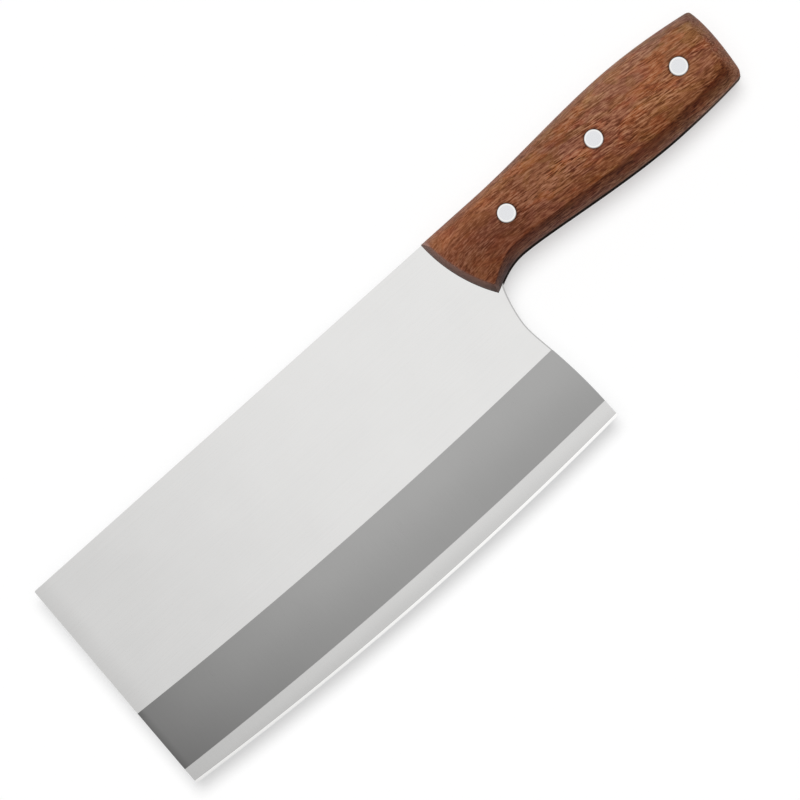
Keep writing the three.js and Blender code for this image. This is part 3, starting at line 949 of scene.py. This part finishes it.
def wooden_scale(name, side, node, shift):
    def outline(share, ease=0):
        edges = handle_edges(
            front=share * ROUND_FRONT + ease,
            top=share * ROUND_TOP + ease,
            butt=share * ROUND_BUTT + ease,
            palm=share * ROUND_PALM + ease,
            waist=share * ROUND_WAIST + ease,
            guard=share * ROUND_GUARD + ease,
        )
        guard = curve(edges["guard"], SWEEP_STEPS)
        return [*edges["top"], *edges["butt"], *edges["bottom"], *guard, *edges["front"]]

    bm = new_mesh()
    number = bm.verts.layers.int["number"]
    outer = outline(0)
    ridge = outline(1)
    base = close_outline(bm, outer, HALF_STEEL)
    edges = base
    for level in range(FLANK_LEVELS + 1):
        inward, rise = flank_level(level / FLANK_LEVELS)
        height = HALF_STEEL + SCALE_LAND + (SCALE_THICKNESS - SCALE_LAND) * rise
        row = [start.lerp(end, inward) for start, end in zip(outer, ridge)]
        finish = GRAIN if level else SEAM
        edges = draw_out(bm, edges, lambda v: (*row[v[number]], height), finish)
    eased = outline(1, RIDGE_EASE)
    edges = draw_out(bm, edges, lambda v: (*eased[v[number]], FACE))

    top_rings, base_rings = [], []
    for rivet in RIVET_NAMES:
        centre = rivet_centre(rivet)
        low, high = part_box(f"{rivet}_pin")
        head_radius = (high.x - low.x) / 2 + HEAD_CLEARANCE
        ring = circle(bm, centre, head_radius, FACE)
        seat = draw_out(bm, ring, lambda v: v.co - Vector((0, 0, HEAD_THICKNESS)))
        narrow = SHANK_HOLE_RADIUS / head_radius
        lip = draw_out(bm, seat, lambda v: (*(centre + (v.co.xy - centre) * narrow), v.co.z))
        through = draw_out(bm, lip, lambda v: (v.co.x, v.co.y, HALF_STEEL))
        top_rings += ring
        base_rings += through
    fill(bm, edges + top_rings)
    fill(bm, base + base_rings, up=-1)
    if side < 0:
        bmesh.ops.scale(bm, verts=bm.verts, vec=(1, 1, -1))
    # The land along the tang takes the seam's painted shade
    finishes = [oiled_wood(f"{name}_grain", shift), painted_shade_edge(f"{name}_seam", SEAM_DARK, SEAM_BUTT)]
    piece = finish_piece(bm, name, finishes, "handle_wood", node)
    # The satin flat scatters too widely to mirror the handle
    piece.visible_glossy = False


def turned(bm, profile):
    """A full turn about the Z axis of a profile of radius and height pairs."""
    verts = [bm.verts.new((radius, 0, height)) for radius, height in profile]
    edges = [bm.edges.new(pair) for pair in zip(verts, verts[1:])]
    bmesh.ops.spin(bm, geom=verts + edges, cent=(0, 0, 0), axis=(0, 0, 1), angle=2 * math.pi,
                   steps=CIRCLE_STEPS, use_merge=True)


def head_profile(radius):
    """Radius and height pairs of a rivet head, from the middle of its face out and down to its seat."""
    rim = [i * math.pi / 2 / CORNER_STEPS for i in range(CORNER_STEPS + 1)]
    seat = FACE - HEAD_THICKNESS
    middle_x, middle_z = radius - HEAD_RIM, FACE - HEAD_RIM
    rounded = [(middle_x + HEAD_RIM * math.sin(a), middle_z + HEAD_RIM * math.cos(a)) for a in rim]
    return [(0, FACE), (radius - HEAD_RING, FACE), *rounded, (radius, seat)]


# Places in a rivet's list of finishes
HEAD_FACE, HEAD_EDGE = range(2)


def rivet_half(name, node, profile, side, face_steel, rim_steel):
    bm = new_mesh()
    low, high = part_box(node)
    radius = (high.x - low.x) / 2
    turned(bm, head_profile(radius) + profile)
    for face in bm.faces:
        middle = face.calc_center_median()
        on_rim = middle.z > FACE - HEAD_RIM and middle.xy.length > radius - HEAD_RING
        face.material_index = HEAD_EDGE if on_rim else HEAD_FACE
    bmesh.ops.scale(bm, verts=bm.verts, vec=(1, 1, side))
    centre = (low + high) / 2 - ORIGIN
    bmesh.ops.translate(bm, verts=bm.verts, vec=(centre.x, centre.y, 0))
    finish_piece(bm, name, [face_steel, rim_steel], "rivet_steel", node)


def rivets():
    face_steel = rivet_steel("rivet_face_steel", tone=0.79, roughness=0.22, cast=COOL_CAST)
    # The rim of each head takes brighter steel than its face, a painted highlight
    rim_steel = rivet_steel("rivet_rim_steel", tone=0.9, roughness=0.2, cast=WARM_CAST)
    seat = FACE - HEAD_THICKNESS
    pin = [(PIN_RADIUS, seat), (PIN_RADIUS, PIN_END), (0, PIN_END)]
    tube = [(TUBE_RADIUS, seat), (TUBE_RADIUS, -TUBE_RIM), (BORE_RADIUS, -TUBE_RIM),
            (BORE_RADIUS, -TUBE_FLOOR), (0, -TUBE_FLOOR)]
    for name in RIVET_NAMES:
        rivet_half(f"{name}_turned_pin", f"{name}_pin", pin, 1, face_steel, rim_steel)
        rivet_half(f"{name}_turned_tube", f"{name}_tube", tube, -1, face_steel, rim_steel)


# Stage

def floor():
    bm = bmesh.new()
    bmesh.ops.create_grid(bm, x_segments=1, y_segments=1, size=FLOOR_SIDE / 2)
    mesh = bpy.data.meshes.new("floor")
    bm.to_mesh(mesh)
    bm.free()
    mesh.materials.append(pale_floor())
    plane = bpy.data.objects.new("floor", mesh)
    bpy.context.scene.collection.objects.link(plane)


def soft_light(name, strength, angle, towards):
    """A wide lamp, which the world stands for in reflections."""
    lamp = bpy.data.lights.new(name, "SUN")
    lamp.energy = strength
    lamp.angle = angle
    # Diffuse rays don't see the blade, and with this on they would carry the lamp's light through it
    lamp.cycles.use_multiple_importance_sampling = False
    light = bpy.data.objects.new(name, lamp)
    light.rotation_euler = towards.to_track_quat("Z", "Y").to_euler()
    light.visible_glossy = False
    bpy.context.scene.collection.objects.link(light)


def lights():
    flat = math.cos(KEY_ELEVATION)
    key = Vector((flat * math.sin(KEY_TURN), flat * math.cos(KEY_TURN), math.sin(KEY_ELEVATION)))
    soft_light("key_light", KEY_STRENGTH, KEY_ANGLE, key)
    soft_light("top_light", TOP_STRENGTH, TOP_ANGLE, Vector((0, 0, 1)))


def studio_world():
    """White all round, with the soft box overhead falling off towards the tip."""
    world = bpy.data.worlds.new("studio")
    bpy.context.scene.world = world
    nodes = Nodes(world)
    x, _, z = nodes.parts(nodes.add("ShaderNodeTexCoord", output="Generated"))
    glow = 1 - BOX_LOSS * nodes.step(x, *BOX_X) * nodes.step(z, *BOX_Z)
    shown = nodes.add("ShaderNodeCombineColor", None, {0: glow, 1: glow, 2: glow})
    colour = nodes.blend(nodes.seen(), grey(AMBIENT), shown)
    light = nodes.add("ShaderNodeBackground", None, {"Color": colour, "Strength": 1})
    nodes.add("ShaderNodeOutputWorld", None, {"Surface": light})


def camera():
    back = Vector((0, -math.sin(CAMERA_TILT), math.cos(CAMERA_TILT)))
    up = Vector((math.sin(CAMERA_ROLL), math.cos(CAMERA_ROLL), 0))
    right = up.cross(back).normalized()
    up = back.cross(right)
    lens = bpy.data.cameras.new("camera")
    lens.sensor_width = SENSOR
    lens.lens = LENS
    eye = bpy.data.objects.new("camera", lens)
    turn = Matrix((right, up, back)).transposed().to_4x4()
    eye.matrix_world = Matrix.Translation(ORIGIN + AIM + CAMERA_DISTANCE * back) @ turn
    bpy.context.scene.collection.objects.link(eye)
    bpy.context.scene.camera = eye


camera()
blade()
wooden_scale("front_wood_scale", 1, "front_scale", FRONT_SHIFT)
wooden_scale("back_wood_scale", -1, "back_scale", BACK_SHIFT)
rivets()
floor()
lights()
studio_world()
bpy.context.scene.view_settings.view_transform = "Standard"
